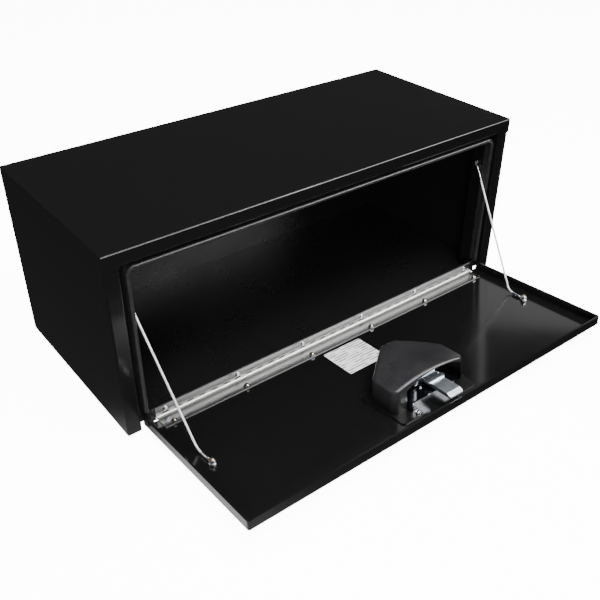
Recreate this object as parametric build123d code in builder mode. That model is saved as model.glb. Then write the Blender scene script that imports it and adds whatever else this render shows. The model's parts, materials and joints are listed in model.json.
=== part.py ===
from build123d import *
import math
import os

# An underbody tool box for a truck: a folded steel box whose front door drops down on a
# long hinge and hangs on two wire rope lanyards. Millimetres throughout.
# The origin is the centre of the underside, +X is to the right, +Y is to the back, +Z is up.
# The door is modelled where its lanyards hold it, a few degrees above level.

# Driving dimensions of the box
box_width = 914.4
box_depth = 406.4
box_height = 355.6
sheet = 1.9
bend = 3.0
inner_bend = 1.1

half_width = box_width / 2
inner_half_width = half_width - sheet
front_y = -box_depth / 2
under_top = box_height - sheet

# Depths behind the front face of the header
flange_depth = sheet
sill_depth = 7.7
collar_depth = 13.5
web_depth = 21.0
web_back = web_depth + sheet
jamb_depth = 50.0

# Header and side flanges
header_bottom = 330.3
header_return = 8.0
header_end_bottom = 327.5
flange_inner = 430.0
flange_return = 12.0
header_return_half = flange_inner - 1.5

# Door opening: the inside faces of its collar
opening_half = 415.45
opening_top = 318.05
opening_radius = 12.0
sill_height = 29.4
sill_half = 415.0

# Hinge
axis_depth = 4.2
axis_height = 9.2
barrel_radius = 3.5
pin_radius = 1.9
pin_clearance = 0.05
leaf = 1.5
knuckle = 12.7
knuckle_pairs = 31
knuckle_gap = 0.2
body_leaf_top = 28.0
door_leaf_edge = 32.2
body_screw_height = 20.0
hinge_half = knuckle * (2 * knuckle_pairs + 1) / 2
fastener_places = [side * place for place in (76.2, 228.6, 381.0) for side in (-1, 1)]

# Door pan. Distances along the door run from the hinge axis to the free edge,
# and heights stand on its outer face.
door_tilt = 4.42
door_half = 424.5
door_edge = 317.6
skin_start = 3.9
tab_start = -1.7
tab_inner = 407.0
rim_height = 19.4
hem = 3.8
hem_height = 8.0
door_bend = 2.4
door_bolt_place = 28.0

# Lanyards
rope_radius = 2.0
lower_stud = (387.5, 161.5)
lower_eye_height = 5.2
lower_bend = (390.0, 121.0)
upper_stud = (412.2, 35.5, 257.4)
terminal_length = 37.5
eye_thickness = 2.0
sleeve_radius = 3.0

# Label on the inside of the door
label_low = (-59.0, -122.0)
label_high = (31.0, -41.0)
label_radius = 2.0
label_thickness = 0.3

# Latch
cover_half = 88.0
cover_front = 268.0
cover_shoulder = 208.0
cover_back = 150.0
cover_back_half = 16.0
cover_radius = 14.0
cover_ridge = 59.5
cover_ridge_x = 4.0
roof_half = 176.0
roof_drop = 54.0
cover_wall = 2.5
cover_draft = 3.0
cover_corner = 6.0
cover_flange = 5.0
mouth_left = (-57.0, 42.0)
mouth_top = (12.0, 57.0)
mouth_right = (80.0, 41.0)
flange_top = sheet + cover_wall
ear_low = (72.0, -214.0)
ear_high = (94.0, -182.0)
ear_radius = 9.0
tongue_low = (40.0, -294.0)
tongue_high = (90.0, -262.0)
tongue_radius = 7.0
tray_half = 56.0
tray_back = 186.0
tray_front = 276.5
tray_wall = 1.5
tray_depth = 20.0
tray_radius = 8.0
tray_gap = 0.3
bezel_low = (-66.0, -295.0)
bezel_high = (66.0, -166.0)
bezel = 2.0
bezel_round = 1.2
gasket = 1.0
latch_stud_places = [(-50.0, 286.5), (50.0, 286.5), (-30.0, 175.0), (30.0, 175.0)]
paddle_pivot = (232.0, 9.0)
paddle_half = 48.0
paddle_start = 205.0
paddle_end = 239.0
slam_left = 1.0
slam_right = 33.0
slam_low = 24.0
slam_high = 31.0
slam_rear = 212.0
slam_tip = 313.0
lock_place = (-34.0, 256.0)
lock_barrel_radius = 8.5
lock_plug_radius = 5.5

# Fasteners: M6 on the door and lanyards, M5 elsewhere
m6_radius = 3.0
m6_flats = 10.0
m6_nut = 5.0
m5_radius = 2.5
m5_flats = 8.0
m5_nut = 4.0
round_head_radius = 5.8
round_head = 2.3
thread_left = 2.4
washer_radius = 6.2
hole_clearance = 0.05

os.makedirs("parts", exist_ok=True)


def save(builder, name):
    """Names a finished piece and writes its file."""
    builder.part.label = name
    export_step(builder.part, "parts/" + name + ".step")


def facing_front(depth):
    """The upright plane that far behind the header's face: local x is X and local y is Z."""
    return Plane.XZ.offset(-(front_y + depth))


tilt = math.radians(door_tilt)
door_out = Vector(0, -math.cos(tilt), math.sin(tilt))
door_up = Vector(0, math.sin(tilt), math.cos(tilt))
hinge_axis = Vector(0, front_y + axis_depth, axis_height)


def door_point(x, place, height):
    """A point given in the door's own terms: across, along from the hinge, and height."""
    return hinge_axis + Vector(x, 0, 0) + door_out * place + door_up * (height - axis_depth)


def on_door(height):
    """A plane parallel to the door. Local x is X, and local y runs back to the hinge,
    so a place along the door is written with a minus sign."""
    return Plane(origin=door_point(0, 0, height), x_dir=(1, 0, 0), z_dir=door_up)


def across_door(x=0.0):
    """A plane through the door's thickness: local x runs along the door and local y is height."""
    return Plane(origin=door_point(x, 0, 0), x_dir=door_out, z_dir=(-1, 0, 0))


def nearest_corner(sketch, x, y):
    """The corner of a sketch that lies nearest to a point."""
    return sketch.vertices().sort_by_distance((x, y))[0]


def rounded_box(low, high, radius):
    """A rectangle between two corners, with rounded corners, in the current sketch."""
    centre = ((low[0] + high[0]) / 2, (low[1] + high[1]) / 2)
    with Locations(centre):
        RectangleRounded(abs(high[0] - low[0]), abs(high[1] - low[1]), radius)


def plain_box(low, high, mode=Mode.ADD):
    """A rectangle between two corners in the current sketch."""
    centre = ((low[0] + high[0]) / 2, (low[1] + high[1]) / 2)
    with Locations(centre):
        Rectangle(abs(high[0] - low[0]), abs(high[1] - low[1]), mode=mode)


# Folded steel box

with BuildPart() as top_panel:
    # Roof, front lip and the return under the lip, folded from one sheet
    with BuildSketch(Plane.YZ) as roof:
        plain_box((front_y, under_top), (box_depth / 2, box_height))
        plain_box((front_y, header_bottom), (front_y + sheet, box_height))
        plain_box((front_y, header_bottom), (front_y + header_return, header_bottom + sheet))
        fillet(nearest_corner(roof, front_y, box_height), bend)
        fillet(nearest_corner(roof, front_y + sheet, under_top), inner_bend)
        fillet(nearest_corner(roof, front_y, header_bottom), bend)
        fillet(nearest_corner(roof, front_y + sheet, header_bottom + sheet), inner_bend)
    extrude(amount=half_width, both=True)
    # Past the side flanges the lip is flat and runs a little lower
    end_length = half_width - header_return_half
    for side in (-1, 1):
        with BuildSketch(facing_front(sheet)):
            with Locations((side * (half_width - end_length / 2), header_bottom)):
                Rectangle(end_length, 2 * header_return)
        extrude(amount=-2 * header_return, mode=Mode.SUBTRACT)
        with BuildSketch(facing_front(0)):
            low = (half_width - end_length, header_end_bottom)
            plain_box((side * low[0], low[1]), (side * half_width, header_bottom + bend))
        extrude(amount=-sheet)
save(top_panel, "top_panel")

with BuildPart() as right_side_panel:
    with BuildSketch(Plane.XY) as side_fold:
        front_face = front_y + flange_depth
        plain_box((inner_half_width, front_face), (half_width, box_depth / 2))
        plain_box((flange_inner, front_face), (half_width, front_face + sheet))
        plain_box((flange_inner, front_face), (flange_inner + sheet, front_y + flange_return))
        fillet(nearest_corner(side_fold, half_width, front_face), bend)
        fillet(nearest_corner(side_fold, inner_half_width, front_face + sheet), inner_bend)
        fillet(nearest_corner(side_fold, flange_inner, front_face), bend)
        fillet(nearest_corner(side_fold, flange_inner + sheet, front_face + sheet), inner_bend)
    extrude(amount=under_top)
    # The top of the flange stands clear of the bend inside the header
    with BuildSketch(facing_front(flange_depth)):
        plain_box((flange_inner, under_top - inner_bend), (half_width, under_top))
    extrude(amount=-inner_bend, mode=Mode.SUBTRACT)
save(right_side_panel, "right_side_panel")

with BuildPart() as left_side_panel:
    mirror(right_side_panel.part, about=Plane.YZ)
save(left_side_panel, "left_side_panel")

with BuildPart() as back_panel:
    with BuildSketch(Plane.XZ.offset(-box_depth / 2)):
        plain_box((-inner_half_width, sheet), (inner_half_width, under_top))
    extrude(amount=sheet)
save(back_panel, "back_panel")

with BuildPart() as floor_panel:
    # The floor and the upright sill that carries the hinge
    with BuildSketch(Plane.YZ) as sill:
        sill_y = front_y + sill_depth
        plain_box((sill_y, 0), (front_y + web_back, sheet))
        plain_box((sill_y, 0), (sill_y + sheet, sill_height))
        fillet(nearest_corner(sill, sill_y, 0), bend)
        fillet(nearest_corner(sill, sill_y + sheet, sheet), inner_bend)
    extrude(amount=sill_half, both=True)
    with BuildSketch(Plane.XY):
        plain_box((-inner_half_width, front_y + web_back), (inner_half_width, box_depth / 2 - sheet))
    extrude(amount=sheet)
    with BuildSketch(facing_front(sill_depth)):
        with Locations([(x, body_screw_height) for x in fastener_places]):
            Circle(m5_radius + hole_clearance)
    extrude(amount=-sheet, mode=Mode.SUBTRACT)
save(floor_panel, "floor_panel")


def opening_outline(grow):
    """The door opening, grown outwards: an upright face with two rounded upper corners."""
    half = opening_half + grow
    top = opening_top + grow
    with BuildSketch() as outline:
        with BuildLine():
            FilletPolyline(
                (-half, 0),
                (-half, top),
                (half, top),
                (half, 0),
                radius=opening_radius + grow,
            )
            Line((half, 0), (-half, 0))
        make_face()
    return outline.sketch


with BuildPart() as opening_frame:
    # An upright web round the opening, and the collar that the seal is pressed on
    with BuildSketch(facing_front(web_depth)):
        plain_box((-inner_half_width, 0), (inner_half_width, under_top))
    extrude(amount=-sheet)
    with BuildSketch(facing_front(web_depth)):
        add(opening_outline(sheet))
    extrude(amount=-sheet, mode=Mode.SUBTRACT)
    with BuildSketch(facing_front(collar_depth)):
        add(opening_outline(sheet))
    extrude(amount=-(web_back - collar_depth))
    with BuildSketch(facing_front(collar_depth)):
        add(opening_outline(0))
    extrude(amount=-(web_back - collar_depth), mode=Mode.SUBTRACT)
save(opening_frame, "opening_frame")

jamb_top = opening_top - opening_radius

with BuildPart() as right_jamb:
    # A deep post behind the collar, folded out to the side wall. It carries the lanyard stud.
    with BuildSketch(Plane.XY.offset(sheet)) as post:
        jamb_front = front_y + web_back
        jamb_back = front_y + jamb_depth
        plain_box((opening_half, jamb_front), (opening_half + sheet, jamb_back + sheet))
        plain_box((opening_half, jamb_back), (inner_half_width, jamb_back + sheet))
        fillet(nearest_corner(post, opening_half, jamb_back + sheet), bend)
        fillet(nearest_corner(post, opening_half + sheet, jamb_back), inner_bend)
    extrude(amount=jamb_top - sheet)
    with BuildSketch(Plane.YZ.offset(opening_half)):
        with Locations((front_y + upper_stud[1], upper_stud[2])):
            Circle(m6_radius + hole_clearance)
    extrude(amount=sheet, mode=Mode.SUBTRACT)
save(right_jamb, "right_jamb")

with BuildPart() as left_jamb:
    mirror(right_jamb.part, about=Plane.YZ)
save(left_jamb, "left_jamb")

# Rubber seal: a bulb on three sides, and a clip that grips the collar
bulb_half_width = 3.8
bulb_front = 2.4
bulb_back = 11.6
clip_back = 20.0
clip_wall = 1.4
seal_bottom = 31.0


def seal_ring(outwards, inwards):
    """The seal's inverted U, from one distance outside the collar's middle to one inside it."""
    with BuildSketch() as ring:
        add(opening_outline(sheet / 2 + outwards))
        add(opening_outline(sheet / 2 - inwards), mode=Mode.SUBTRACT)
        plain_box((-half_width, -sheet), (half_width, seal_bottom), mode=Mode.SUBTRACT)
    return ring.sketch


with BuildPart() as door_seal:
    with BuildSketch(facing_front(bulb_front)):
        add(seal_ring(bulb_half_width - 0.2, bulb_half_width))
    extrude(amount=-(bulb_back - bulb_front))
    long_edges = door_seal.edges().filter_by(Axis.Y, reverse=True)
    bulb_ends = door_seal.faces().filter_by(Axis.Z).group_by(Axis.Z)[0].edges()
    fillet([edge for edge in long_edges if edge not in bulb_ends], bulb_half_width - 0.4)
    with BuildSketch(facing_front(bulb_back - bulb_half_width)):
        add(seal_ring(sheet / 2 + clip_wall, sheet / 2 + clip_wall))
    extrude(amount=-(clip_back - bulb_back + bulb_half_width))
    with BuildSketch(facing_front(collar_depth)):
        add(seal_ring(sheet / 2, sheet / 2))
    extrude(amount=-(clip_back - collar_depth), mode=Mode.SUBTRACT)
save(door_seal, "door_seal")

with BuildPart() as header_weld_beads:
    # Short welds under the ends of the header, against the side flanges
    bead_radius = 1.6
    bead_length = 11.0
    bead_place = 450.0
    for side in (-1, 1):
        with BuildSketch(Plane.YZ.offset(side * bead_place)):
            with Locations((front_y + flange_depth, header_end_bottom)):
                Circle(bead_radius)
            plain_box(
                (front_y + flange_depth, header_end_bottom - bend),
                (front_y + flange_depth + bend, header_end_bottom + bend),
                mode=Mode.SUBTRACT,
            )
            plain_box(
                (front_y - bend, header_end_bottom),
                (front_y + flange_depth, header_end_bottom + bend),
                mode=Mode.SUBTRACT,
            )
        extrude(amount=bead_length / 2, both=True)
save(header_weld_beads, "header_weld_beads")

# Hinge

barrel_bore = pin_radius + pin_clearance
swing_clearance = 0.4
notch_clearance = 1.4
axis_y = front_y + axis_depth

with BuildPart() as hinge_body_leaf:
    leaf_front = front_y + sill_depth - leaf
    with BuildSketch(Plane.YZ):
        with Locations((axis_y, axis_height)):
            Circle(barrel_radius)
        plain_box((leaf_front, axis_height), (leaf_front + leaf, body_leaf_top))
        with Locations((axis_y, axis_height)):
            Circle(barrel_bore, mode=Mode.SUBTRACT)
    extrude(amount=hinge_half, both=True)
    body_notch = 2 * (barrel_radius + notch_clearance)
    with BuildSketch(Plane.XY.offset(axis_height - body_notch / 2)):
        with Locations((0, axis_y)):
            with GridLocations(2 * knuckle, 1, knuckle_pairs, 1):
                Rectangle(knuckle + 2 * knuckle_gap, body_notch)
    extrude(amount=body_notch, mode=Mode.SUBTRACT)
    with BuildSketch(facing_front(sill_depth)):
        with Locations([(x, body_screw_height) for x in fastener_places]):
            Circle(m5_radius + hole_clearance)
    extrude(amount=leaf, mode=Mode.SUBTRACT)
save(hinge_body_leaf, "hinge_body_leaf")

with BuildPart() as hinge_door_leaf:
    leaf_low = sheet
    with BuildSketch(across_door()):
        with Locations((0, axis_depth)):
            Circle(barrel_radius)
        plain_box((barrel_bore, leaf_low), (door_leaf_edge, leaf_low + leaf))
        with Locations((0, axis_depth)):
            Circle(barrel_bore, mode=Mode.SUBTRACT)
    extrude(amount=hinge_half, both=True)
    door_notch = 2 * (barrel_radius + swing_clearance)
    with BuildSketch(on_door(axis_depth - door_notch / 2)):
        with GridLocations(2 * knuckle, 1, knuckle_pairs + 1, 1):
            Rectangle(knuckle + 2 * knuckle_gap, door_notch)
    extrude(amount=door_notch, mode=Mode.SUBTRACT)
    with BuildSketch(on_door(0)):
        with Locations([(x, -door_bolt_place) for x in fastener_places]):
            Circle(m6_radius + hole_clearance)
    extrude(amount=leaf_low + leaf, mode=Mode.SUBTRACT)
save(hinge_door_leaf, "hinge_door_leaf")

with BuildPart() as hinge_pin:
    with BuildSketch(Plane.YZ):
        with Locations((axis_y, axis_height)):
            Circle(pin_radius)
    extrude(amount=hinge_half + 2.0, both=True)
save(hinge_pin, "hinge_pin")

with BuildPart() as hinge_body_screws:
    head_height = 1.9
    head_radius = 5.0
    with BuildSketch(facing_front(sill_depth - leaf)):
        with Locations([(x, body_screw_height) for x in fastener_places]):
            Circle(head_radius)
    extrude(amount=head_height)
    fillet(hinge_body_screws.faces().group_by(Axis.Y)[0].edges(), 1.2)
    with BuildSketch(facing_front(sill_depth - leaf)):
        with Locations([(x, body_screw_height) for x in fastener_places]):
            Circle(m5_radius)
    extrude(amount=-(leaf + sheet + m5_nut + 2.0))
save(hinge_body_screws, "hinge_body_screws")

with BuildPart() as hinge_body_nuts:
    with BuildSketch(facing_front(sill_depth + sheet)):
        with Locations([(x, body_screw_height) for x in fastener_places]):
            RegularPolygon(m5_flats / 2, 6, major_radius=False)
            Circle(m5_radius, mode=Mode.SUBTRACT)
    extrude(amount=-m5_nut)
save(hinge_body_nuts, "hinge_body_nuts")

# Door

with BuildPart() as door_pan:
    # One sheet folded up on three sides, with the rims folded over inside as a hem
    with BuildSketch(on_door(0)) as pan:
        plain_box((-door_half, -door_edge), (door_half, -skin_start))
        for side in (-1, 1):
            plain_box((side * tab_inner, -skin_start - hem), (side * door_half, -tab_start))
        fillet(pan.vertices().group_by(Axis.Y)[0], hem)
    extrude(amount=rim_height)
    with BuildSketch(on_door(sheet)) as channel:
        plain_box((sheet - door_half, sheet - door_edge), (door_half - sheet, hem))
        fillet(channel.vertices().group_by(Axis.Y)[0], hem - sheet)
    extrude(amount=rim_height - hem_height - sheet, mode=Mode.SUBTRACT)
    with BuildSketch(on_door(rim_height - hem_height)):
        plain_box((hem - door_half, hem - door_edge), (door_half - hem, hem))
    extrude(amount=hem_height, mode=Mode.SUBTRACT)
    outer_face = door_pan.faces().sort_by_distance(door_point(0, door_edge / 2, -sheet))[0]
    folds = [edge for edge in outer_face.edges()
             if (edge.center() - hinge_axis).dot(door_out) > skin_start + door_bend]
    fillet(folds, door_bend)
    with BuildSketch(on_door(0)):
        with Locations([(x, -door_bolt_place) for x in fastener_places]):
            Circle(m6_radius + hole_clearance)
        with Locations([(side * lower_stud[0], -lower_stud[1]) for side in (-1, 1)]):
            Circle(m6_radius + hole_clearance)
        with Locations([(x, -place) for x, place in latch_stud_places]):
            Circle(m5_radius + hole_clearance)
        with Locations((0, -(tray_front + tray_back) / 2)):
            RectangleRounded(
                2 * (tray_half + tray_gap), tray_front - tray_back + 2 * tray_gap, tray_radius)
    extrude(amount=sheet, mode=Mode.SUBTRACT)
save(door_pan, "door_pan")

with BuildPart() as hinge_door_bolts:
    # Low round heads outside, threaded ends inside
    with BuildSketch(on_door(0)):
        with Locations([(x, -door_bolt_place) for x in fastener_places]):
            Circle(round_head_radius)
    extrude(amount=-round_head)
    with BuildSketch(on_door(0)):
        with Locations([(x, -door_bolt_place) for x in fastener_places]):
            Circle(m6_radius)
    extrude(amount=sheet + leaf + m6_nut + thread_left)
save(hinge_door_bolts, "hinge_door_bolts")

with BuildPart() as hinge_door_nuts:
    with BuildSketch(on_door(sheet + leaf)):
        with Locations([(x, -door_bolt_place) for x in fastener_places]):
            RegularPolygon(m6_flats / 2, 6, major_radius=False)
            Circle(m6_radius, mode=Mode.SUBTRACT)
    extrude(amount=m6_nut)
save(hinge_door_nuts, "hinge_door_nuts")

with BuildPart() as inside_label:
    with BuildSketch(on_door(sheet)):
        rounded_box(label_low, label_high, label_radius)
    extrude(amount=label_thickness)
save(inside_label, "inside_label")

# Lanyards


def rope_terminal(eye_centre, eye_axis, sleeve_end):
    """A flat eye for a stud, with a tapered neck and a crimp sleeve that ends at sleeve_end."""
    direction = (sleeve_end - eye_centre).normalized()
    length = (sleeve_end - eye_centre).length
    eye_plane = Plane(origin=eye_centre - eye_axis * (eye_thickness / 2), z_dir=eye_axis)
    neck_plane = Plane(origin=eye_centre + direction * 6.0, z_dir=direction)
    sleeve_plane = Plane(origin=eye_centre + direction * 11.0, z_dir=direction)
    with BuildPart() as terminal:
        with BuildSketch(eye_plane):
            Circle(6.5)
        extrude(amount=eye_thickness)
        with BuildSketch(neck_plane):
            Circle(eye_thickness / 2)
        with BuildSketch(sleeve_plane):
            Circle(sleeve_radius)
        loft()
        with BuildSketch(sleeve_plane):
            Circle(sleeve_radius)
        extrude(amount=length - 11.0)
        with BuildSketch(sleeve_plane.offset(length - 11.0)):
            Circle(rope_radius)
        extrude(amount=-12.0, mode=Mode.SUBTRACT)
        with BuildSketch(eye_plane):
            Circle(m6_radius + hole_clearance)
        extrude(amount=eye_thickness, mode=Mode.SUBTRACT)
    return terminal.part


rope_inside_sleeve = 10.0
lower_eye = door_point(lower_stud[0], lower_stud[1], lower_eye_height)
lower_corner = door_point(lower_bend[0], lower_bend[1], lower_eye_height + 1.0)
lower_direction = (lower_corner - lower_eye).normalized()
lower_sleeve_end = lower_corner - lower_direction * 10.0
upper_eye = Vector(upper_stud[0], front_y + upper_stud[1], upper_stud[2])
upper_direction = (lower_corner - upper_eye).normalized()
upper_end = upper_eye + upper_direction * terminal_length

lower_terminal = rope_terminal(lower_eye, door_up, lower_sleeve_end)
upper_terminal = rope_terminal(upper_eye, Vector(1, 0, 0), upper_end)

with BuildPart() as lower_lanyard_eyes:
    add(lower_terminal)
    mirror(about=Plane.YZ)
save(lower_lanyard_eyes, "lower_lanyard_eyes")

with BuildPart() as upper_lanyard_eyes:
    add(upper_terminal)
    mirror(about=Plane.YZ)
save(upper_lanyard_eyes, "upper_lanyard_eyes")

# Each rope is straight between its sleeves: it leaves the lower sleeve along the door and turns
# up at once. The upper sleeve points straight down the rope.
rope_route = [
    lower_sleeve_end - lower_direction * rope_inside_sleeve,
    lower_corner,
    upper_end - upper_direction * rope_inside_sleeve,
]
rope_turn = (rope_route[1] - rope_route[0]).get_angle(rope_route[2] - rope_route[1])
rope_exit_run = (lower_corner - lower_sleeve_end).length
rope_bend_radius = 0.9 * rope_exit_run / math.tan(math.radians(rope_turn) / 2)
print("lanyard rope: turn", round(rope_turn, 1), "degrees, radius", round(rope_bend_radius, 1), "mm")

with BuildPart() as right_cable:
    with BuildLine() as route:
        FilletPolyline(*rope_route, radius=rope_bend_radius)
    with BuildSketch(Plane(origin=rope_route[0], z_dir=lower_direction)):
        Circle(rope_radius)
    sweep(path=route.wires()[0])
save(right_cable, "right_cable")
rope_length = route.wires()[0].length
rope_volume = math.pi * rope_radius**2 * rope_length
print("lanyard rope: length", round(rope_length, 1), "mm, volume ratio",
      round(right_cable.part.volume / rope_volume, 4))

with BuildPart() as left_cable:
    mirror(right_cable.part, about=Plane.YZ)
save(left_cable, "left_cable")

stud_tip = 3.0

with BuildPart() as upper_lanyard_bolts:
    # The head is outside the jamb, in the hollow beside the opening
    jamb_face = Plane.YZ.offset(opening_half + sheet)
    with BuildSketch(jamb_face):
        with Locations((upper_eye.Y, upper_eye.Z)):
            RegularPolygon(m6_flats / 2, 6, major_radius=False)
    extrude(amount=m6_nut)
    with BuildSketch(jamb_face):
        with Locations((upper_eye.Y, upper_eye.Z)):
            Circle(m6_radius)
    extrude(amount=-(opening_half + sheet - upper_eye.X + eye_thickness / 2 + m6_nut - 1.0 + stud_tip))
    mirror(about=Plane.YZ)
save(upper_lanyard_bolts, "upper_lanyard_bolts")

with BuildPart() as upper_lanyard_nuts:
    # A plain nut inside the eye, and a thin one between the eye and the jamb
    with BuildSketch(Plane.YZ.offset(upper_eye.X - eye_thickness / 2)):
        with Locations((upper_eye.Y, upper_eye.Z)):
            RegularPolygon(m6_flats / 2, 6, major_radius=False)
            Circle(m6_radius, mode=Mode.SUBTRACT)
    extrude(amount=1.0 - m6_nut)
    with BuildSketch(Plane.YZ.offset(upper_eye.X + eye_thickness / 2)):
        with Locations((upper_eye.Y, upper_eye.Z)):
            RegularPolygon(m6_flats / 2, 6, major_radius=False)
            Circle(m6_radius, mode=Mode.SUBTRACT)
    extrude(amount=opening_half - upper_eye.X - eye_thickness / 2)
    mirror(about=Plane.YZ)
save(upper_lanyard_nuts, "upper_lanyard_nuts")

lower_stud_places = [(side * lower_stud[0], -lower_stud[1]) for side in (-1, 1)]
lower_eye_top = lower_eye_height + eye_thickness / 2

with BuildPart() as lower_lanyard_bolts:
    with BuildSketch(on_door(0)):
        with Locations(lower_stud_places):
            Circle(round_head_radius)
    extrude(amount=-round_head)
    with BuildSketch(on_door(0)):
        with Locations(lower_stud_places):
            Circle(m6_radius)
    extrude(amount=lower_eye_top + m6_nut + stud_tip)
save(lower_lanyard_bolts, "lower_lanyard_bolts")

with BuildPart() as lower_lanyard_nuts:
    # A washer under the eye and a hexagon nut on top of it
    with BuildSketch(on_door(sheet)):
        with Locations(lower_stud_places):
            Circle(washer_radius)
            Circle(m6_radius, mode=Mode.SUBTRACT)
    extrude(amount=lower_eye_height - eye_thickness / 2 - sheet)
    with BuildSketch(on_door(lower_eye_top)):
        with Locations(lower_stud_places):
            RegularPolygon(m6_flats / 2, 6, major_radius=False)
            Circle(m6_radius, mode=Mode.SUBTRACT)
    extrude(amount=m6_nut)
save(lower_lanyard_nuts, "lower_lanyard_nuts")

# Latch cover: a moulded shroud over the works, open towards the free edge


def along_door(place):
    """A plane across the door: local x runs across it, local y is the height; it extrudes outwards."""
    return Plane(origin=door_point(0, place, 0), x_dir=(1, 0, 0), z_dir=door_out)


def cover_outline(inset):
    """The outline of the shroud's foot: a blunt point at the back, shoulders and a straight front."""
    with BuildSketch() as outline:
        with BuildLine():
            FilletPolyline(
                (0, inset - cover_front),
                (cover_half - inset, inset - cover_front),
                (cover_half - inset, -cover_shoulder),
                (cover_back_half - 0.5 * inset, -cover_back - inset),
                (0, -cover_back - inset),
                radius=cover_radius - inset,
            )
            mirror(about=Plane.YZ)
        make_face()
    return outline.sketch


def cover_body(inset):
    """The shroud's solid shape: drafted walls under a roof that is arched across the door."""
    top = sheet + cover_ridge - inset
    left_end, right_end = [(side * roof_half, top - roof_drop) for side in (-1, 1)]
    with BuildPart() as body:
        with BuildSketch(on_door(sheet)):
            add(cover_outline(inset))
        extrude(amount=cover_ridge - inset, taper=cover_draft)
        with BuildSketch(along_door(0)):
            with BuildLine():
                ThreePointArc(left_end, (cover_ridge_x, top), right_end)
                Polyline(right_end, (roof_half, -roof_drop), (-roof_half, -roof_drop), left_end)
            make_face()
        extrude(amount=2 * cover_front, mode=Mode.INTERSECT)
        roof = body.faces().sort_by_distance(door_point(cover_ridge_x, cover_shoulder, 2 * top))[0]
        fillet(roof.edges(), cover_corner - inset)
    return body.part


cover_hollow = cover_body(cover_wall)

with BuildPart() as latch_cover:
    add(cover_body(0))
    # The foot: a flat flange with ears at the back and two tongues for the front nuts
    with BuildSketch(on_door(sheet)):
        add(cover_outline(0))
        offset(amount=cover_flange)
        for side in (-1, 1):
            rounded_box((side * ear_low[0], ear_low[1]), (side * ear_high[0], ear_high[1]), ear_radius)
            rounded_box(
                (side * tongue_low[0], tongue_low[1]),
                (side * tongue_high[0], tongue_high[1]),
                tongue_radius,
            )
        plain_box(
            (-tray_half - 1.0, -tray_front - 1.0),
            (tray_half + 1.0, 1.0 - tray_back),
            mode=Mode.SUBTRACT,
        )
    extrude(amount=cover_wall)
    add(cover_hollow, mode=Mode.SUBTRACT)
    # The way out for the tongue, an arch in the front wall
    with BuildSketch(along_door(cover_front - 3 * cover_wall)):
        with BuildLine():
            ThreePointArc(mouth_left, mouth_top, mouth_right)
            Polyline(
                mouth_right,
                (mouth_right[0], flange_top),
                (mouth_left[0], flange_top),
                mouth_left,
            )
        make_face()
    extrude(amount=6 * cover_wall, mode=Mode.SUBTRACT)
    with BuildSketch(on_door(sheet)):
        plain_box((-tray_half - 1.0, -tray_front), (tray_half + 1.0, 3 * cover_wall - cover_front))
    extrude(amount=cover_wall, mode=Mode.SUBTRACT)
    with BuildSketch(on_door(sheet)):
        with Locations([(x, -place) for x, place in latch_stud_places[:2]]):
            Circle(m5_radius + hole_clearance)
    extrude(amount=cover_wall, mode=Mode.SUBTRACT)
save(latch_cover, "latch_cover")

# Latch: a dish let into the door from outside, with a paddle that draws the slam bolt back

latch_studs_at = [(x, -place) for x, place in latch_stud_places]
front_studs_at = latch_studs_at[:2]
rear_studs_at = latch_studs_at[2:]
stud_top = flange_top + m5_nut + thread_left
slot_half = 9.0
slot_front = -paddle_pivot[0] - 4.0
slot_back = 12.0 - paddle_pivot[0]
slam_middle = (slam_left + slam_right) / 2
finger_half = 6.0

with BuildPart() as latch_tray:
    with BuildSketch(on_door(-gasket)):
        rounded_box(bezel_low, bezel_high, tray_radius)
    extrude(amount=-bezel)
    bezel_face = latch_tray.faces().sort_by_distance(door_point(0, cover_shoulder, -2 * bezel))[0]
    fillet(bezel_face.edges(), bezel_round)
    with BuildSketch(on_door(-gasket - bezel)):
        rounded_box((-tray_half, -tray_front), (tray_half, -tray_back), tray_radius)
    extrude(amount=tray_depth + gasket + bezel)
    with BuildSketch(on_door(-gasket - bezel)):
        rounded_box(
            (tray_wall - tray_half, tray_wall - tray_front),
            (tray_half - tray_wall, -tray_back - tray_wall),
            tray_radius - tray_wall,
        )
    extrude(amount=tray_depth + gasket + bezel - tray_wall, mode=Mode.SUBTRACT)
    # A slot for the paddle's finger and a hole for the lock
    with BuildSketch(on_door(tray_depth)):
        plain_box((slam_middle - slot_half, slot_front), (slam_middle + slot_half, slot_back))
        with Locations((lock_place[0], -lock_place[1])):
            Circle(lock_barrel_radius + hole_clearance)
    extrude(amount=-tray_wall, mode=Mode.SUBTRACT)
    # Studs that hold the dish, the gasket and the shroud to the door
    with BuildSketch(on_door(-gasket)):
        with Locations(latch_studs_at):
            Circle(m5_radius)
    extrude(amount=gasket + stud_top)
save(latch_tray, "latch_tray")

with BuildPart() as latch_gasket:
    with BuildSketch(on_door(0)):
        rounded_box(
            (bezel_low[0] + gasket, bezel_low[1] + gasket),
            (bezel_high[0] - gasket, bezel_high[1] - gasket),
            tray_radius,
        )
        with Locations((0, -(tray_front + tray_back) / 2)):
            RectangleRounded(
                2 * (tray_half + tray_gap),
                tray_front - tray_back + 2 * tray_gap,
                tray_radius,
                mode=Mode.SUBTRACT,
            )
        with Locations(latch_studs_at):
            Circle(m5_radius + hole_clearance, mode=Mode.SUBTRACT)
    extrude(amount=-gasket)
save(latch_gasket, "latch_gasket")

with BuildPart() as latch_nuts:
    with BuildSketch(on_door(flange_top)):
        with Locations(front_studs_at):
            RegularPolygon(m5_flats / 2, 6, major_radius=False)
            Circle(m5_radius, mode=Mode.SUBTRACT)
    extrude(amount=m5_nut)
    with BuildSketch(on_door(sheet)):
        with Locations(rear_studs_at):
            RegularPolygon(m5_flats / 2, 6, major_radius=False)
            Circle(m5_radius, mode=Mode.SUBTRACT)
    extrude(amount=m5_nut)
save(latch_nuts, "latch_nuts")

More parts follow.
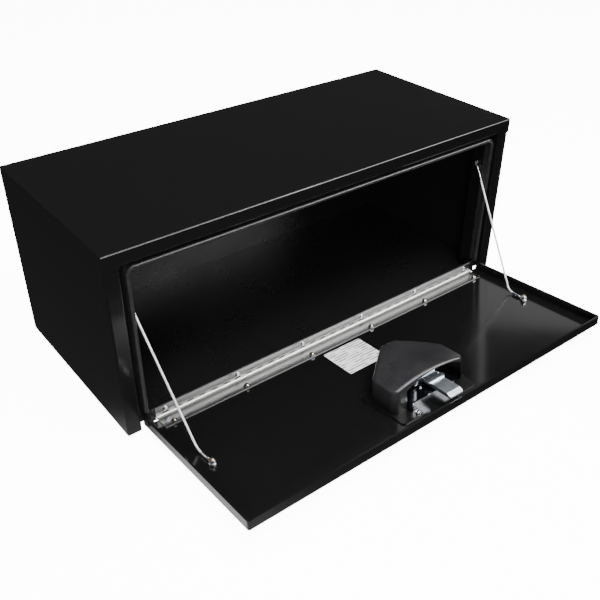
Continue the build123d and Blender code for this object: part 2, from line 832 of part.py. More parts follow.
slam_clear = 0.4
guide_side = 14.0
bridge_back = 233.5
bridge_front = 242.5
bridge_top = slam_high + 2.0
guide_left = slam_left - guide_side
guide_right = slam_right + guide_side
spring_stop = 184.0
guide_floor = 1.5
guide_wall = 1.6
spring_radius = 3.4
spring_wire = 1.0

with BuildPart() as bolt_guide:
    # A plate on the back of the dish, two rails beside the bolt, a bridge over it
    # and an upright stop behind its spring
    with BuildSketch(on_door(tray_depth)):
        plain_box((guide_left, -bridge_front), (guide_right, -spring_stop))
        plain_box(
            (slam_middle - slot_half, slot_front),
            (slam_middle + slot_half, slot_back),
            mode=Mode.SUBTRACT,
        )
    extrude(amount=guide_floor)
    with BuildSketch(on_door(tray_depth)):
        for side in (-1, 1):
            rail = slam_middle + side * ((slam_right - slam_left) / 2 + slam_clear)
            plain_box((rail, -bridge_front), (rail + side * guide_wall, -spring_stop))
    extrude(amount=slam_high - tray_depth + slam_clear)
    with BuildSketch(on_door(slam_high + slam_clear)):
        plain_box(
            (slam_left - slam_clear - guide_wall, -bridge_front),
            (slam_right + slam_clear + guide_wall, -bridge_back),
        )
    extrude(amount=bridge_top - slam_high - slam_clear)
    with BuildSketch(on_door(tray_depth)):
        plain_box((slam_left - slam_clear, -spring_stop - 2.0), (slam_right + slam_clear, -spring_stop))
    extrude(amount=slam_high - tray_depth)
save(bolt_guide, "bolt_guide")

with BuildPart() as guide_screws:
    guide_screws_at = [(guide_left + 6.0, -205.0), (guide_left + 6.0, -237.0),
                       (guide_right - 6.0, -205.0), (guide_right - 6.0, -237.0)]
    with BuildSketch(on_door(tray_depth + guide_floor)):
        with Locations(guide_screws_at):
            Circle(4.2)
    extrude(amount=2.6)
    fillet(guide_screws.faces().group_by(SortBy.AREA)[-1].edges(), 0.9)
save(guide_screws, "guide_screws")

tip_flat = 2.6
tip_slope = 9.0
tip_radius = 2.4
cross_bar = 3.0
cross_bar_low = (-5.0, -266.0)
cross_bar_high = (37.0, -256.0)
cross_bar_radius = 2.5
window_front = paddle_pivot[0] + 6.5
window_back = paddle_pivot[0] - 7.0

with BuildPart() as slam_bolt:
    # A flat zinc bolt, sloped at the tip on the side that meets the frame as the door shuts
    with BuildSketch(across_door(slam_right)):
        with BuildLine():
            Polyline(
                (slam_rear, slam_low),
                (slam_tip, slam_low),
                (slam_tip, slam_low + tip_flat),
                (slam_tip - tip_slope, slam_high),
                (slam_rear, slam_high),
                close=True,
            )
        make_face()
    extrude(amount=slam_right - slam_left)
    tip = slam_bolt.faces().sort_by_distance(door_point(slam_middle, slam_tip + sheet, slam_low + 1.0))[0]
    fillet(tip.edges().filter_by(Axis.X, reverse=True), tip_radius)
    with BuildSketch(on_door(slam_low)):
        plain_box(
            (slam_middle - slot_half + 1.0, -window_front),
            (slam_middle + slot_half - 1.0, -window_back),
        )
    extrude(amount=slam_high - slam_low, mode=Mode.SUBTRACT)
    # A cross bar that stops the bolt against its guide
    with BuildSketch(on_door(slam_high)):
        rounded_box(cross_bar_low, cross_bar_high, cross_bar_radius)
    extrude(amount=cross_bar)
save(slam_bolt, "slam_bolt")

with BuildPart() as bolt_spring:
    # Compressed between the stop and the bolt; drawn as its outer tube
    spring_start = spring_stop + 2.0
    spring_height = (slam_low + slam_high) / 2
    with BuildSketch(Plane(origin=door_point(slam_middle, spring_start, spring_height), z_dir=door_out)):
        Circle(spring_radius)
        Circle(spring_radius - spring_wire, mode=Mode.SUBTRACT)
    extrude(amount=slam_rear - spring_start)
save(bolt_spring, "bolt_spring")

pivot_place, pivot_height = paddle_pivot
paddle_pin_radius = 2.0
paddle_boss = 4.5
paddle_low = 0.0
paddle_thickness = 2.5

with BuildPart() as paddle_handle:
    # The plate that is pulled, the barrel round its pin, and the finger that draws the bolt
    with BuildSketch(on_door(paddle_low)):
        rounded_box((-paddle_half, -paddle_end), (paddle_half, -paddle_start), 5.0)
    extrude(amount=paddle_thickness)
    with BuildSketch(across_door(paddle_half)):
        with Locations(paddle_pivot):
            Circle(paddle_boss)
        plain_box((pivot_place - 4.0, paddle_low + paddle_thickness), (pivot_place + 4.0, pivot_height))
    extrude(amount=2 * paddle_half)
    with BuildSketch(across_door(slam_middle + finger_half)):
        rounded_box((pivot_place - 2.0, pivot_height), (pivot_place + 2.0, slam_high - 0.6), 1.5)
    extrude(amount=2 * finger_half)
    with BuildSketch(across_door(paddle_half)):
        with Locations(paddle_pivot):
            Circle(paddle_pin_radius + hole_clearance)
    extrude(amount=2 * paddle_half, mode=Mode.SUBTRACT)
    # Room for the return spring in the middle of the barrel
    with BuildSketch(across_door(-18.0)):
        plain_box((pivot_place - 6.5, paddle_low + paddle_thickness), (pivot_place + 6.5, 16.0))
    extrude(amount=14.0, mode=Mode.SUBTRACT)
save(paddle_handle, "paddle_handle")

with BuildPart() as paddle_pin:
    with BuildSketch(across_door(tray_half - tray_wall)):
        with Locations(paddle_pivot):
            Circle(paddle_pin_radius)
    extrude(amount=2 * (tray_half - tray_wall))
save(paddle_pin, "paddle_pin")

with BuildPart() as paddle_spring:
    # The coil of the return spring, loose on the pin, with one leg against the dish
    with BuildSketch(across_door(-19.0)):
        with Locations(paddle_pivot):
            Circle(3.9)
            Circle(2.9, mode=Mode.SUBTRACT)
    extrude(amount=12.0)
    with BuildSketch(across_door(-24.0)):
        plain_box((pivot_place + 2.9, pivot_height), (pivot_place + 3.9, tray_depth - tray_wall))
    extrude(amount=1.0)
save(paddle_spring, "paddle_spring")

lock_at = (lock_place[0], -lock_place[1])
lock_face = 6.0
lock_back = 30.0

with BuildPart() as lock_barrel:
    with BuildSketch(on_door(lock_face)):
        with Locations(lock_at):
            Circle(lock_barrel_radius)
            Circle(lock_plug_radius + pin_clearance, mode=Mode.SUBTRACT)
    extrude(amount=lock_back - lock_face)
save(lock_barrel, "lock_barrel")

with BuildPart() as lock_plug:
    # The part that a key turns, with its keyway in the outer face
    with BuildSketch(on_door(lock_face)):
        with Locations(lock_at):
            Circle(lock_plug_radius)
    extrude(amount=lock_back - lock_face + 1.0)
    with BuildSketch(on_door(lock_face)):
        with Locations(lock_at):
            Rectangle(1.6, 7.0)
    extrude(amount=8.0, mode=Mode.SUBTRACT)
save(lock_plug, "lock_plug")

with BuildPart() as lock_cam:
    # Turned by the plug, it reaches towards the bolt's cross bar when locked
    with BuildSketch(on_door(lock_back + 1.0)):
        with Locations(lock_at):
            Circle(6.0)
        plain_box((lock_at[0] - 4.0, lock_at[1]), (lock_at[0] + 4.0, lock_at[1] + 24.0))
    extrude(amount=2.0)
save(lock_cam, "lock_cam")
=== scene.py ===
import json
import math

import bmesh
import bpy
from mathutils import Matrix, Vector


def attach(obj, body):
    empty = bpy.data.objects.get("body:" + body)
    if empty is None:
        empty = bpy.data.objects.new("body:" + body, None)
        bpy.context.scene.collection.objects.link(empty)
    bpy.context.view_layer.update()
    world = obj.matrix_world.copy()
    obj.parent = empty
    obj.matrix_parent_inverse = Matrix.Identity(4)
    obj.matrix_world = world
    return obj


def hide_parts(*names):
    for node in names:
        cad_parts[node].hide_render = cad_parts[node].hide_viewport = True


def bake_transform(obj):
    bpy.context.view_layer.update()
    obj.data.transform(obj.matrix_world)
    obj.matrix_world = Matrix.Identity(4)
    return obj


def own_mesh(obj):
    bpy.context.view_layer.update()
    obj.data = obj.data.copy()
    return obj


# An underbody truck tool box with its drop-down door open. Metres, in the frame of the CAD model:
# +X to the right, +Y to the back, +Z up, origin at the centre of the underside.

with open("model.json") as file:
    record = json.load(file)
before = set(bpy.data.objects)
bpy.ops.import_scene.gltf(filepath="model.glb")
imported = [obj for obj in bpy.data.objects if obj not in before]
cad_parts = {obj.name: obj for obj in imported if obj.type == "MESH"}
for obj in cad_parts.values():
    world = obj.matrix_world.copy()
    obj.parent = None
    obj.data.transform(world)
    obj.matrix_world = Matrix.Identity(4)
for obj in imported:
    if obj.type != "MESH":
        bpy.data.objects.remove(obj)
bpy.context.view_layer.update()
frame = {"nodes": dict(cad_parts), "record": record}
nodes = frame["nodes"]
scene = bpy.context.scene
mm = 0.001


def record_joint(name):
    joints = frame["record"]["behaviour"]["joints"]
    return next(joint for joint in joints if joint["name"] == name)


# The open door stands a little above level, so it has its own way up and its own way out
door_tilt = math.radians(4.42)
door_up = Vector((0, math.sin(door_tilt), math.cos(door_tilt)))
door_out = Vector((0, -math.cos(door_tilt), math.sin(door_tilt)))
across = Vector((1, 0, 0))
inwards = Vector((0, 1, 0))


# Camera, standing to the left of the open door and looking down into it

def make_camera():
    data = bpy.data.cameras.new("camera")
    data.lens = 47.5
    data.sensor_width = 36.0
    camera = bpy.data.objects.new("camera", data)
    camera.location = (-0.8373, -1.1652, 0.9487)
    camera.rotation_euler = [math.radians(angle) for angle in (56.16, -0.14, -37.83)]
    scene.collection.objects.link(camera)
    scene.camera = camera


make_camera()


# Material building

class Paint:
    """A material with one Principled shader, and short ways to add nodes to it."""

    def __init__(self, name, **values):
        self.material = bpy.data.materials.new(name)
        self.material.use_nodes = True
        self.tree = self.material.node_tree
        self.shader = self.tree.nodes["Principled BSDF"]
        for key, value in values.items():
            socket = key.replace("_", " ")
            self.shader.inputs[socket].default_value = value

    def node(self, kind, **values):
        made = self.tree.nodes.new(kind)
        for key, value in values.items():
            if key in made.inputs:
                made.inputs[key].default_value = value
            else:
                setattr(made, key, value)
        return made

    def link(self, source, target):
        self.tree.links.new(source, target)

    def place(self, scale=(1, 1, 1)):
        """Object coordinates, which are metres from the origin, scaled along each axis."""
        coordinates = self.node("ShaderNodeTexCoord")
        mapping = self.node("ShaderNodeMapping")
        mapping.inputs["Scale"].default_value = scale
        self.link(coordinates.outputs["Object"], mapping.inputs["Vector"])
        return mapping.outputs["Vector"]

    def speckle(self, scale, detail=4.0, stretch=(1, 1, 1)):
        """Fractal noise from 0 to 1, with so many features to a metre."""
        texture = self.node("ShaderNodeTexNoise", Scale=scale, Detail=detail, Roughness=0.6)
        self.link(self.place(stretch), texture.inputs["Vector"])
        return texture.outputs["Fac"]

    def spread(self, value, low, high, start=0.3, end=0.7):
        """A value that runs from low to high as another runs from start to end."""
        remap = self.node("ShaderNodeMapRange")
        limits = {"From Min": start, "From Max": end, "To Min": low, "To Max": high}
        for key, number in limits.items():
            remap.inputs[key].default_value = number
        self.link(value, remap.inputs["Value"])
        return remap.outputs["Result"]

    def blend_colours(self, value, first, second):
        """From the first colour to the second as the value goes from 0 to 1.
        Each is three numbers or a socket."""
        mix = self.node("ShaderNodeMix", data_type="RGBA")
        for name, colour in (("A", first), ("B", second)):
            if isinstance(colour, bpy.types.NodeSocket):
                self.link(colour, mix.inputs[name])
            else:
                mix.inputs[name].default_value = (*colour, 1)
        self.link(value, mix.inputs["Factor"])
        return mix.outputs["Result"]

    def colour(self, output):
        self.link(output, self.shader.inputs["Base Color"])

    def roughness(self, output):
        self.link(output, self.shader.inputs["Roughness"])

    def bump(self, height, distance, strength):
        """Relief of that many metres."""
        made = self.node("ShaderNodeBump", Strength=strength, Distance=distance)
        self.link(height, made.inputs["Height"])
        self.link(made.outputs["Normal"], self.shader.inputs["Normal"])


def gloss_coat(name, tone, low, high, shine=0.5):
    """Black powder coat: a faint orange peel, smudges that dull it, and specks of dust.
    Its roughness runs from low to high."""
    paint = Paint(name, Specular_IOR_Level=shine)
    smudge = paint.speckle(7.0, 5.0)
    paint.roughness(paint.spread(smudge, low, high))
    dust = paint.spread(paint.speckle(900.0, 2.0), 0.0, 1.0, 0.62, 0.85)
    clean = (tone, tone, tone * 1.04)
    lighter_tone = (tone * 3.5, tone * 3.5, tone * 3.5)
    paint.colour(paint.blend_colours(dust, clean, lighter_tone))
    orange_peel = paint.speckle(260.0, 2.0)
    paint.bump(orange_peel, 0.00006, 0.35)
    return paint.material


def bright_metal(name, tone, low, high, stretch=(1, 1, 1), metal=1.0):
    """Plated or bare steel with cloudy patches and fine scratches, which stretch can draw out
    along one way. Its roughness runs from low to high."""
    paint = Paint(name, Metallic=metal)
    cloud = paint.speckle(60.0)
    dark = [0.72 * value for value in tone]
    paint.colour(paint.blend_colours(paint.spread(cloud, 0.0, 1.0), dark, tone))
    scratch = paint.speckle(700.0, 3.0, stretch)
    paint.roughness(paint.spread(scratch, low, high))
    paint.bump(scratch, 0.00002, 0.5)
    return paint.material


def hinge_steel_painted_light(name, barrel, inner, outer, near, far):
    """Bare hinge steel, brushed along its length, with light and shade painted into its tone by the
    distance from the pin: a painted highlight along the barrel, and painted shade on the leaf,
    which runs from its inner tone, this near to the pin, to its outer tone, this far from it."""
    paint = Paint(name, Metallic=1.0)
    _, pin_y, pin_z = record_joint("door_hinge")["pos_m"]
    coordinates = paint.node("ShaderNodeTexCoord")
    offset = paint.node("ShaderNodeVectorMath", operation="SUBTRACT")
    offset.inputs[1].default_value = (0, pin_y, pin_z)
    flat = paint.node("ShaderNodeVectorMath", operation="MULTIPLY")
    flat.inputs[1].default_value = (0, 1, 1)
    distance = paint.node("ShaderNodeVectorMath", operation="LENGTH")
    paint.link(coordinates.outputs["Object"], offset.inputs[0])
    paint.link(offset.outputs["Vector"], flat.inputs[0])
    paint.link(flat.outputs["Vector"], distance.inputs[0])
    away = distance.outputs["Value"]
    # Painted shade: the leaf is darkest next to the barrel and lighter towards its outer edge.
    leaf = paint.blend_colours(paint.spread(away, 0.0, 1.0, near, far), inner, outer)
    # Painted highlight: out to 3.4 mm from the pin axis the colour is the bright barrel tone,
    # blending into the leaf by 4.2 mm.
    off_barrel_highlight = paint.spread(away, 0.0, 1.0, 0.0034, 0.0042)
    paint.colour(paint.blend_colours(off_barrel_highlight, barrel, leaf))
    brushing = paint.speckle(900.0, 3.0, (0.02, 1, 1))
    paint.roughness(paint.spread(brushing, 0.24, 0.36))
    paint.bump(brushing, 0.000004, 0.5)
    return paint.material


def soft_rubber(name):
    """Black rubber, mottled and slightly bloomed."""
    paint = Paint(name)
    bloom = paint.spread(paint.speckle(120.0), 0.0, 1.0)
    paint.colour(paint.blend_colours(bloom, (0.008, 0.008, 0.008), (0.02, 0.02, 0.02)))
    paint.roughness(paint.spread(paint.speckle(40.0), 0.3, 0.45))
    paint.bump(paint.speckle(1500.0), 0.0001, 0.4)
    return paint.material


def grained_plastic(name):
    """Moulded black plastic with a fine leather grain, lighter, in random patches, on its upper
    part than at its foot.
    """
    paint = Paint(name)
    cells = paint.node("ShaderNodeTexVoronoi", Scale=650.0)
    paint.link(paint.place(), cells.inputs["Vector"])
    split = paint.node("ShaderNodeSeparateXYZ")
    paint.link(paint.place(), split.inputs["Vector"])
    # Colour by height: from 35 mm to 65 mm up, the tone rises from near black to the lighter,
    # patched tone.
    height_ramp = paint.spread(split.outputs["Z"], 0.0, 1.0, 0.035, 0.065)
    patches = paint.spread(paint.speckle(25.0), 0.0, 1.0)
    lighter_tone = paint.blend_colours(patches, (0.011, 0.011, 0.012), (0.019, 0.019, 0.020))
    paint.colour(paint.blend_colours(height_ramp, (0.004, 0.004, 0.004), lighter_tone))
    paint.roughness(paint.spread(paint.speckle(15.0), 0.26, 0.34))
    paint.bump(cells.outputs["Distance"], 0.00012, 0.5)
    return paint.material


def printed_label(name):
    """White film with broken dark rules, which say nothing, where print would be."""
    paint = Paint(name)
    lines = paint.node(
        "ShaderNodeTexWave", wave_type="BANDS", bands_direction="Y", Scale=46.0)
    paint.link(paint.place(), lines.inputs["Vector"])
    rule = paint.spread(lines.outputs["Fac"], 0.0, 1.0, 0.55, 0.75)
    breaks = paint.spread(paint.speckle(45.0, 1.0, (1.0, 5.0, 0.2)), 1.0, 0.0, 0.52, 0.56)
    ink = paint.node("ShaderNodeMath", operation="MULTIPLY")
    paint.link(rule, ink.inputs[0])
    paint.link(breaks, ink.inputs[1])
    film, printed = (0.86, 0.86, 0.88), (0.10, 0.10, 0.11)
    paint.colour(paint.blend_colours(ink.outputs["Value"], film, printed))
    paint.roughness(paint.spread(paint.speckle(30.0), 0.35, 0.5))
    return paint.material


coat = gloss_coat("black_powder_coat", tone=0.0045, low=0.10, high=0.18)
inner_coat = gloss_coat("black_powder_coat_inside", tone=0.004, low=0.24, high=0.34)
floor_coat = gloss_coat("black_powder_coat_floor", tone=0.007, low=0.24, high=0.34)
frame_coat = gloss_coat("black_powder_coat_frame", tone=0.006, low=0.26, high=0.36, shine=0.15)
door_coat = gloss_coat("black_powder_coat_door", tone=0.005, low=0.10, high=0.17)
# The barrel colour is a painted highlight. Each leaf's inner and outer tones are painted shade,
# darkest next to the barrel.
body_hinge_steel = hinge_steel_painted_light(
    "hinge_steel_body", barrel=(0.60, 0.60, 0.59),
    inner=(0.28, 0.28, 0.28), outer=(0.36, 0.36, 0.36), near=0.006, far=0.020)
door_hinge_steel = hinge_steel_painted_light(
    "hinge_steel_door", barrel=(0.60, 0.60, 0.59),
    inner=(0.07, 0.07, 0.068), outer=(0.28, 0.28, 0.275), near=0.009, far=0.019)
dark_metal = bright_metal("dark_metal", (0.10, 0.10, 0.11), low=0.25, high=0.4)
lock_metal = bright_metal("lock_metal", (0.72, 0.66, 0.5), low=0.2, high=0.35)
zinc = bright_metal("zinc_plating", (0.80, 0.82, 0.86), low=0.14, high=0.3)
plate_zinc = bright_metal("zinc_plate_dull", (0.74, 0.80, 0.86), low=0.30, high=0.45)
warm_zinc = bright_metal("zinc_plating_warm", (0.86, 0.62, 0.45), low=0.18, high=0.32)
rope_wire = bright_metal("galvanised_wire", (0.95, 0.95, 0.97), low=0.35, high=0.5, metal=0.55)
polished = bright_metal(
    "polished_steel", (0.40, 0.41, 0.44), low=0.12, high=0.24, stretch=(0.05, 1, 1))
rubber = soft_rubber("seal_rubber")
shroud_plastic = grained_plastic("shroud_plastic")
label_film = printed_label("label_film")


# The finish of every CAD node. The ropes, and the fasteners, eyes and springs that are modelled
# again below, are hidden, and their new pieces have materials of their own.

def finish_nodes(material, *names):
    for name in names:
        mesh = nodes[name].data
        mesh.materials.clear()
        mesh.materials.append(material)


finish_nodes(coat, "top_panel", "left_side_panel", "right_side_panel", "header_weld_beads")
finish_nodes(inner_coat, "back_panel", "left_jamb", "right_jamb")
finish_nodes(floor_coat, "floor_panel")
finish_nodes(frame_coat, "opening_frame")
finish_nodes(door_coat, "door_pan", "paddle_handle")
finish_nodes(rubber, "door_seal", "latch_gasket")
finish_nodes(body_hinge_steel, "hinge_body_leaf", "hinge_pin")
finish_nodes(door_hinge_steel, "hinge_door_leaf")
finish_nodes(plate_zinc, "bolt_guide", "slam_bolt")
finish_nodes(dark_metal, "lock_barrel", "lock_cam")
finish_nodes(polished, "latch_tray")
finish_nodes(lock_metal, "lock_plug")
finish_nodes(shroud_plastic, "latch_cover")
finish_nodes(label_film, "inside_label")
finish_nodes(
    zinc, "hinge_body_screws", "hinge_body_nuts", "hinge_door_bolts", "hinge_door_nuts",
    "upper_lanyard_bolts", "upper_lanyard_nuts", "upper_lanyard_eyes",
    "lower_lanyard_bolts", "lower_lanyard_nuts", "lower_lanyard_eyes",
    "latch_nuts", "guide_screws", "bolt_spring", "paddle_pin", "paddle_spring")


# Lanyards: wire rope along the same route as the CAD's tubes

rope_radius = 2.0 * mm
rope_pitch = 0.026
rope_step = 0.0012
rope_sides = 72
strands = 6
wires = 36  # that show round the outside

# The route starts inside the lower sleeve, turns up at the door and ends inside the upper sleeve.
# One point stands 6 diameters past the turn, because the rope is straight from there on.
right_route = [
    Vector((0.38877, -0.33942, 0.02157)),
    Vector((0.39000, -0.31949, 0.02052)),
    Vector((0.39189, -0.30658, 0.04066)),
    Vector((0.41004, -0.18249, 0.23432)),
]


def add_mesh(name, mesh, body=None):
    made = bpy.data.objects.new(name, mesh)
    scene.collection.objects.link(made)
    if body:
        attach(made, body)
    return made


def spline_points(name, route):
    """Points along the smooth curve that a rope's few route points control."""
    curve = bpy.data.curves.new(name, "CURVE")
    curve.dimensions = "3D"
    curve.resolution_u = 60
    spline = curve.splines.new("NURBS")
    spline.points.add(len(route) - 1)
    for point, place in zip(spline.points, route):
        point.co = (*place, 1)
    spline.order_u = 3
    spline.use_endpoint_u = True
    holder = bpy.data.objects.new(name, curve)
    line = bpy.data.meshes.new_from_object(holder)
    points = [vertex.co.copy() for vertex in line.vertices]
    bpy.data.objects.remove(holder)
    bpy.data.meshes.remove(line)
    bpy.data.curves.remove(curve)
    return points


def even_points(points, step):
    """The same line with its points a fixed step apart."""
    spaced = [points[0]]
    left = step
    for start, end in zip(points, points[1:]):
        run = (end - start).length
        while run > left:
            start = start.lerp(end, left / run)
            spaced.append(start)
            run = (end - start).length
            left = step
        left -= run
    spaced.append(points[-1])
    return spaced


def frames_along(line):
    """For each point of a line: the point, two directions square to the line there, and the
    length so far."""
    forward = (line[1] - line[0]).normalized()
    side = forward.orthogonal().normalized()
    travelled = 0.0
    frames = []
    for index, place in enumerate(line):
        ahead = line[min(index + 1, len(line) - 1)]
        behind = line[max(index - 1, 0)]
        forward = (ahead - behind).normalized()
        side = (side - forward * side.dot(forward)).normalized()
        if index:
            travelled += (place - line[index - 1]).length
        frames.append((place, side, forward.cross(side), travelled))
    return frames


def add_ring(made, centre, side, up, sides, reach):
    """A ring of vertices, at the radius that reach gives for each angle from side to up."""
    angles = [2 * math.pi * step / sides for step in range(sides)]
    return [
        made.verts.new(centre + reach(angle) * (side * math.cos(angle) + up * math.sin(angle)))
        for angle in angles
    ]


def close_rings(made, rings, ends=True):
    """Joins rings of vertices into a skin, with a face over each end."""
    count = len(rings[0])
    for first, second in zip(rings, rings[1:]):
        for step in range(count):
            after = (step + 1) % count
            made.faces.new((first[step], first[after], second[after], second[step]))
    if ends:
        made.faces.new(reversed(rings[0]))
        made.faces.new(rings[-1])


def add_rope(made, line, radius, pitch):
    """A rope whose strands show as turning lobes, each with a few wires on it."""
    rings = []
    for place, side, up, travelled in frames_along(line):
        turn = 2 * math.pi * travelled / pitch

        def reach(angle):
            lobe = abs(math.cos(strands / 2 * (angle - turn)))
            wire = abs(math.cos(wires / 2 * (angle + 0.4 * turn)))
            return radius * (0.80 + 0.17 * lobe + 0.03 * wire)

        rings.append(add_ring(made, place, side, up, rope_sides, reach))
    close_rings(made, rings)


def add_wire(made, line, radius):
    """A round wire along a line of points."""
    close_rings(made, [
        add_ring(made, place, side, up, wire_sides, lambda angle: radius)
        for place, side, up, _ in frames_along(line)
    ])


def add_turned(made, base, axis, profile, sides, shape=None):
    """The rings of a turned piece. The profile is a list of (height along the axis, radius),
    and shape, if given, changes the radius with the angle."""
    axis = axis.normalized()
    side = axis.orthogonal().normalized()
    up = axis.cross(side)
    rings = []
    for height, radius in profile:

        def reach(angle):
            return shape(angle, radius) if shape else radius

        rings.append(add_ring(made, base + axis * height, side, up, sides, reach))
    return rings


def smooth(mesh, angle):
    """Smooth shading that keeps the edges sharper than so many degrees."""
    mesh.polygons.foreach_set("use_smooth", [True] * len(mesh.polygons))
    mesh.set_sharp_from_angle(angle=math.radians(angle))


def finished(made, name, material, angle):
    """A mesh with its material and shading, from a bmesh, which it uses up."""
    mesh = bpy.data.meshes.new(name)
    made.to_mesh(mesh)
    made.free()
    mesh.materials.append(material)
    smooth(mesh, angle)
    return mesh


def on_side(point, side):
    """A point of the right-hand lanyard, or with a side of -1 its mirror image on the left."""
    return Vector((side * point.x, point.y, point.z))


def make_rope(name, node, side):
    """One lanyard's rope, from inside its lower sleeve to inside its upper one."""
    route = [on_side(place, side) for place in right_route]
    path = spline_points(name + "_line", route)
    made = bmesh.new()
    add_rope(made, even_points(path, rope_step), rope_radius, side * rope_pitch)
    rope = add_mesh(name, finished(made, name, rope_wire, 60.0))
    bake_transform(rope)
    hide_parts(node)


make_rope("right_wire_rope", "right_cable", 1)
make_rope("left_wire_rope", "left_cable", -1)


# Fasteners, each built where the CAD solid that it stands for is

# A nut's width across its flats and its bore's radius, and a thread's radius and pitch
m6_nut = (10 * mm, 2.75 * mm)
m5_nut = (8 * mm, 2.3 * mm)
m6_thread = (3.0 * mm, 1.0 * mm)
m5_thread = (2.5 * mm, 0.8 * mm)

hexagon_sides = 72
round_sides = 64
dome_sides = 40
thread_sides = 32
corner_turn = math.radians(30)
chamfered = 0.94
lead = 0.35 * mm
shank_overlap = 0.2 * mm
washer_height = 2.6 * mm
washer_spread = 1.2
end_slice = 0.5 * mm


class Island:
    """One solid of a CAD node, measured along an axis."""

    def __init__(self, points, axis):
        heights = [point.dot(axis) for point in points]
        middle = sum(points, Vector()) / len(points)
        self.low = min(heights)
        self.high = max(heights)
        self.axis = axis
        self.middle = middle - axis * middle.dot(axis)
        self.points = points

    def at(self, height):
        """The point on the solid's own axis at that distance along it."""
        return self.middle + self.axis * height

    def reach(self, low, high):
        """The largest radius between two heights."""
        return max(
            (point - self.at(point.dot(self.axis))).length
            for point in self.points
            if low <= point.dot(self.axis) <= high
        )


def islands(node, axis):
    """The separate solids of a CAD node. Their points are in the mesh's own order, so that sums
    over them round in the same way each run."""
    made = bmesh.new()
    made.from_mesh(nodes[node].data)
    bmesh.ops.remove_doubles(made, verts=made.verts, dist=1e-6)
    made.verts.index_update()
    seen = set()
    found = []
    for seed in made.verts:
        if seed in seen:
            continue
        group = {seed}
        fringe = {seed}
        while fringe:
            fringe = {link.other_vert(vert) for vert in fringe for link in vert.link_edges} - group
            group |= fringe
        seen |= group
        ordered = sorted(group, key=lambda vert: vert.index)
        found.append(Island([vert.co.copy() for vert in ordered], axis))
    made.free()
    return sorted(found, key=lambda island: (round(island.middle.x, 4), island.low))


def hexagon(flats):
    """A shape for add_turned that cuts six flats on a round profile."""
    def shape(angle, radius):
        return min(radius, flats / 2 / math.cos(corner_turn - angle % (2 * corner_turn)))
    return shape


def nut_profile(height, flats, bore):
    """A chamfered nut, from its lower bore round the outside to its upper bore."""
    corner = flats / 2 / math.cos(corner_turn)
    inner = chamfered * flats / 2
    drop = (corner - inner) * math.tan(corner_turn)
    return [
        (lead, bore), (0, bore + lead), (0, inner), (drop, corner), (height - drop, corner),
        (height, inner), (height, bore + lead), (height - lead, bore),
    ]


def close_bored(made, rings):
    """Closes a piece that has a bore: its last ring joins its first."""
    close_rings(made, [*rings, rings[0]], ends=False)


def add_nut(made, base, axis, height, flats, bore):
    profile = nut_profile(height, flats, bore)
    close_bored(made, add_turned(made, base, axis, profile, hexagon_sides, hexagon(flats)))


def add_washer(made, base, axis, height, radius, bore):
    rounding = 0.15 * height
    close_bored(made, add_turned(made, base, axis, [
        (0, bore), (0, radius - rounding), (rounding, radius), (height - rounding, radius),
        (height, radius - rounding), (height, bore),
    ], round_sides))


def thread_profile(start, end, radius, pitch):
    """A screw's thread, with a short lead at its far end."""
    depth = 0.32 * pitch
    root = radius - depth
    profile = []
    turns = int((end - start - 0.6 * mm) / pitch)
    for turn in range(turns):
        foot = start + turn * pitch
        profile += [(foot, root), (foot + 0.45 * pitch, radius), (foot + 0.6 * pitch, radius)]
    top = start + turns * pitch
    profile += [(top, root), (end - lead, root), (end, radius - 3 * depth)]
    return profile


def hexagon_head(height, radius):
    """The profile of a hexagon head, its number of sides and its shape."""
    flats = radius * 2 * math.cos(corner_turn)
    profile = [
        (0, 0.8 * flats / 2), (0, chamfered * flats / 2), (0.12 * height, radius),
        (height, radius), (height, 0.6 * flats),
    ]
    return profile, hexagon_sides, hexagon(flats)


def dome_head(height, radius):
    """The profile of a round head, its number of sides and its shape, which is none."""
    turns = [math.radians(step) for step in (8, 20, 32, 44, 56, 68, 79, 90)]
    profile = [(height * (1 - math.cos(turn)), radius * math.sin(turn)) for turn in turns]
    return profile, dome_sides, None


def add_bolt(made, base, axis, length, thread, head, head_height):
    """A bolt with its head below its base, on the far side from its tip. The head is a profile,
    its number of sides and its shape."""
    close_rings(made, add_turned(made, base - axis * head_height, axis, *head))
    radius, pitch = thread
    shank = [(0, radius - 0.3 * pitch)]
    shank += thread_profile(shank_overlap, length + shank_overlap, radius, pitch)
    close_rings(made, add_turned(made, base - axis * shank_overlap, axis, shank, thread_sides))


def replace_node(node, made, body, material=zinc, angle=35.0):
    """Puts a detailed piece in place of a CAD node."""
    bmesh.ops.recalc_face_normals(made, faces=made.faces)
    piece = add_mesh(node + "_detail", finished(made, node + "_detail", material, angle), body)
    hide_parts(node)
    return piece


def detail_nuts(node, body, axis, flats, bore):
    """A hexagon nut for each solid of a node, and a round washer for each that is thin and wide."""
    made = bmesh.new()
    for island in islands(node, axis):
        height = island.high - island.low
        wide = island.reach(island.low, island.high)
        base = island.at(island.low)
        if height < washer_height and wide > flats / 2 * washer_spread:
            add_washer(made, base, axis, height, wide, bore)
        else:
            add_nut(made, base, axis, height, flats, bore)
    replace_node(node, made, body)


def detail_bolts(node, body, axis, thread, head_height, make_head=dome_head, material=zinc):
    """A bolt for each solid of a node, with its head at the end where the solid is wider."""
    made = bmesh.new()
    for island in islands(node, axis):
        low_wide = island.reach(island.low, island.low + end_slice)
        high_wide = island.reach(island.high - end_slice, island.high)
        head = make_head(head_height, island.reach(island.low, island.high))
        length = island.high - island.low - head_height
        if low_wide > high_wide:
            base, way = island.at(island.low + head_height), axis
        else:
            base, way = island.at(island.high - head_height), -axis
        add_bolt(made, base, way, length, thread, head, head_height)
    replace_node(node, made, body, material)


